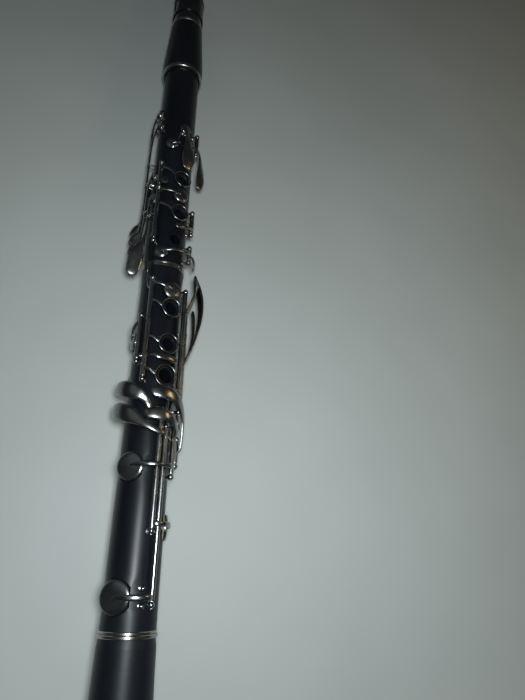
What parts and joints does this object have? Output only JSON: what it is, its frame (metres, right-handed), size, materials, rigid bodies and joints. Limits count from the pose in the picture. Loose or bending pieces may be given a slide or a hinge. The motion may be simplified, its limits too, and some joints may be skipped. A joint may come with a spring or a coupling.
{
  "type": "b-flat clarinet",
  "caption": "Boehm-system clarinet: black tapered body with flared bell, nickel-plated keywork that turns on rods, ring keys, barrel, mouthpiece, reed and ligature.",
  "frame": {"origin": "centre of the bell's open mouth, in the plane of its rim", "axes": "+Y up the bore towards the mouthpiece, +Z out of the front finger holes, +X to the player's right of the bore seen from the front with the mouthpiece up"},
  "size_m": [0.08, 0.6635, 0.08],
  "materials": {
    "body_resin": "satin black, finely polished",
    "ebonite": "polished black hard rubber",
    "cork": "greased natural cork",
    "cane": "bare cane",
    "blued_steel": "blued spring steel",
    "pad_skin": "fish-skin over felt",
    "black_lacquer": "black lacquer on metal",
    "ring_plate": "bright nickel plate",
    "rod_steel": "bare steel",
    "key_plate": "bright nickel plate on nickel silver"
  },
  "bodies": {
    "instrument_body": {"bell": "body_resin", "bell_rings": "ring_plate", "lower_joint": "body_resin", "lower_joint_rings": "ring_plate", "upper_joint": "body_resin", "upper_joint_ring": "ring_plate", "tenon_corks": "cork", "lower_posts": "key_plate", "upper_posts": "key_plate", "lower_rods": "rod_steel", "upper_rods": "rod_steel", "needle_springs": "blued_steel", "thumb_rest": "key_plate", "thumb_rest_screws": "key_plate", "bushings": "key_plate"},
    "head": {"barrel": "body_resin", "barrel_rings": "ring_plate", "mouthpiece": "ebonite", "mouthpiece_cork": "cork", "reed": "cane", "ligature": "black_lacquer", "ligature_screws": "black_lacquer"},
    "register": {"register_key": "key_plate", "register_pad": "pad_skin"},
    "thumb_ring": {"thumb_ring_key": "key_plate", "thumb_pad": "pad_skin"},
    "a": {"a_key": "key_plate", "a_pad": "pad_skin"},
    "g_sharp": {"g_sharp_key": "key_plate", "g_sharp_pad": "pad_skin"},
    "side_1": {"side_key_1": "key_plate", "side_pad_1": "pad_skin"},
    "side_2": {"side_key_2": "key_plate", "side_pad_2": "pad_skin"},
    "side_3": {"side_key_3": "key_plate", "side_pad_3": "pad_skin"},
    "side_4": {"side_key_4": "key_plate", "side_pad_4": "pad_skin"},
    "first_ring": {"first_ring_key": "key_plate"},
    "upper_bridge": {"upper_bridge_key": "key_plate", "upper_bridge_pad": "pad_skin"},
    "e_flat": {"e_flat_key": "key_plate", "e_flat_pad": "pad_skin"},
    "c_sharp": {"c_sharp_key": "key_plate", "c_sharp_pad": "pad_skin"},
    "lower_ring": {"lower_ring_key": "key_plate", "lower_ring_pad": "pad_skin"},
    "b": {"b_key": "key_plate", "b_pad": "pad_skin"},
    "low_e": {"low_e_key": "key_plate", "low_e_pad": "pad_skin"},
    "low_f": {"low_f_key": "key_plate", "low_f_pad": "pad_skin"},
    "f_sharp": {"f_sharp_key": "key_plate", "f_sharp_pad": "pad_skin"},
    "a_flat": {"a_flat_key": "key_plate", "a_flat_pad": "pad_skin"},
    "left_e": {"left_e_lever": "key_plate"},
    "left_f_sharp": {"left_f_sharp_lever": "key_plate"},
    "left_f": {"left_f_lever": "key_plate"}
  },
  "joints": [
    {"name": "tuning_slide", "type": "slide", "parent": "instrument_body", "child": "head", "axis": [0, 1, 0], "range_m": [0, 0.002]},
    {"name": "register_pivot", "type": "hinge", "parent": "instrument_body", "child": "register", "pos_m": [0, 0.448, -0.0182], "axis": [1, 0, 0], "range_deg": [-2.5, 0], "stiffness_Nm_per_rad": 0.05, "springref_deg": 11.46},
    {"name": "thumb_ring_hinge", "type": "hinge", "parent": "instrument_body", "child": "thumb_ring", "pos_m": [-0.01245, 0.4, -0.01245], "axis": [0, 1, 0], "range_deg": [-6, 0], "stiffness_Nm_per_rad": 0.05, "springref_deg": 11.46},
    {"name": "a_pivot", "type": "hinge", "parent": "instrument_body", "child": "a", "pos_m": [0, 0.4495, 0.018], "axis": [1, 0, 0], "range_deg": [0, 6], "stiffness_Nm_per_rad": 0.05, "springref_deg": -11.46},
    {"name": "g_sharp_hinge", "type": "hinge", "parent": "instrument_body", "child": "g_sharp", "pos_m": [0.01108, 0.449, 0.01418], "axis": [0, 1, 0], "range_deg": [0, 6], "stiffness_Nm_per_rad": 0.05, "springref_deg": -11.46},
    {"name": "side_1_pivot", "type": "hinge", "parent": "instrument_body", "child": "side_1", "pos_m": [-0.01863, 0.372, 0.00464], "axis": [0.2419, 0, 0.9703], "range_deg": [0, 2.8], "stiffness_Nm_per_rad": 0.05, "springref_deg": -11.46},
    {"name": "side_2_pivot", "type": "hinge", "parent": "instrument_body", "child": "side_2", "pos_m": [-0.0192, 0.378, 0], "axis": [0, 0, 1], "range_deg": [0, 2], "stiffness_Nm_per_rad": 0.05, "springref_deg": -11.46},
    {"name": "side_3_pivot", "type": "hinge", "parent": "instrument_body", "child": "side_3", "pos_m": [-0.01863, 0.406, -0.00464], "axis": [-0.2419, 0, 0.9703], "range_deg": [0, 1.1], "stiffness_Nm_per_rad": 0.05, "springref_deg": -11.46},
    {"name": "side_4_pivot", "type": "hinge", "parent": "instrument_body", "child": "side_4", "pos_m": [-0.01695, 0.428, -0.00901], "axis": [-0.4695, 0, 0.8829], "range_deg": [0, 1.2], "stiffness_Nm_per_rad": 0.05, "springref_deg": -11.46},
    {"name": "first_ring_hinge", "type": "hinge", "parent": "instrument_body", "child": "first_ring", "pos_m": [-0.0151, 0.388, 0.0098], "axis": [0, 1, 0], "range_deg": [0, 6], "stiffness_Nm_per_rad": 0.05, "springref_deg": -11.46},
    {"name": "upper_bridge_hinge", "type": "hinge", "parent": "instrument_body", "child": "upper_bridge", "pos_m": [-0.0151, 0.388, 0.0098], "axis": [0, 1, 0], "range_deg": [0, 6], "stiffness_Nm_per_rad": 0.05, "springref_deg": -11.46},
    {"name": "e_flat_hinge", "type": "hinge", "parent": "instrument_body", "child": "e_flat", "pos_m": [0.01295, 0.376, 0.0125], "axis": [0, 1, 0], "range_deg": [-6, 0], "stiffness_Nm_per_rad": 0.05, "springref_deg": 11.46},
    {"name": "c_sharp_hinge", "type": "hinge", "parent": "instrument_body", "child": "c_sharp", "pos_m": [0.01189, 0.347, 0.01417], "axis": [0, 1, 0], "range_deg": [0, 6], "stiffness_Nm_per_rad": 0.05, "springref_deg": -11.46},
    {"name": "lower_ring_hinge", "type": "hinge", "parent": "instrument_body", "child": "lower_ring", "pos_m": [-0.01338, 0.283, 0.01204], "axis": [0, 1, 0], "range_deg": [0, 6], "stiffness_Nm_per_rad": 0.05, "springref_deg": -11.46},
    {"name": "b_hinge", "type": "hinge", "parent": "instrument_body", "child": "b", "pos_m": [-0.01644, 0.276, 0.00732], "axis": [0, 1, 0], "range_deg": [0, 4], "stiffness_Nm_per_rad": 0.05, "springref_deg": -11.46},
    {"name": "low_e_hinge", "type": "hinge", "parent": "instrument_body", "child": "low_e", "pos_m": [0.00273, 0.17, 0.0183], "axis": [0, 1, 0], "range_deg": [-7.5, 0], "stiffness_Nm_per_rad": 0.06, "springref_deg": 14.32},
    {"name": "low_f_hinge", "type": "hinge", "parent": "instrument_body", "child": "low_f", "pos_m": [0.01008, 0.205, 0.01552], "axis": [0, 1, 0], "range_deg": [-7.5, 0], "stiffness_Nm_per_rad": 0.06, "springref_deg": 14.32},
    {"name": "f_sharp_hinge", "type": "hinge", "parent": "instrument_body", "child": "f_sharp", "pos_m": [-0.00113, 0.193, 0.01847], "axis": [0, 1, 0], "range_deg": [-7, 0], "stiffness_Nm_per_rad": 0.06, "springref_deg": 14.32},
    {"name": "a_flat_hinge", "type": "hinge", "parent": "instrument_body", "child": "a_flat", "pos_m": [0.01458, 0.205, 0.01139], "axis": [0, 1, 0], "range_deg": [-5.5, 0], "stiffness_Nm_per_rad": 0.05, "springref_deg": 11.46},
    {"name": "left_e_hinge", "type": "hinge", "parent": "instrument_body", "child": "left_e", "pos_m": [0.01386, 0.266, 0.01226], "axis": [0, 1, 0], "range_deg": [0, 4], "stiffness_Nm_per_rad": 0.02, "springref_deg": -11.46},
    {"name": "left_f_sharp_hinge", "type": "hinge", "parent": "instrument_body", "child": "left_f_sharp", "pos_m": [0.01087, 0.278, 0.01497], "axis": [0, 1, 0], "range_deg": [0, 5.2], "stiffness_Nm_per_rad": 0.02, "springref_deg": -11.46},
    {"name": "left_f_hinge", "type": "hinge", "parent": "instrument_body", "child": "left_f", "pos_m": [0.01618, 0.254, 0.00897], "axis": [0, 1, 0], "range_deg": [0, 7.2], "stiffness_Nm_per_rad": 0.02, "springref_deg": -11.46}
  ],
  "couplings": [
    {"joint": "left_e_hinge", "follows": "low_e_hinge", "ratio": -0.52},
    {"joint": "left_f_sharp_hinge", "follows": "f_sharp_hinge", "ratio": -0.72},
    {"joint": "left_f_hinge", "follows": "low_f_hinge", "ratio": -0.95}
  ]
}
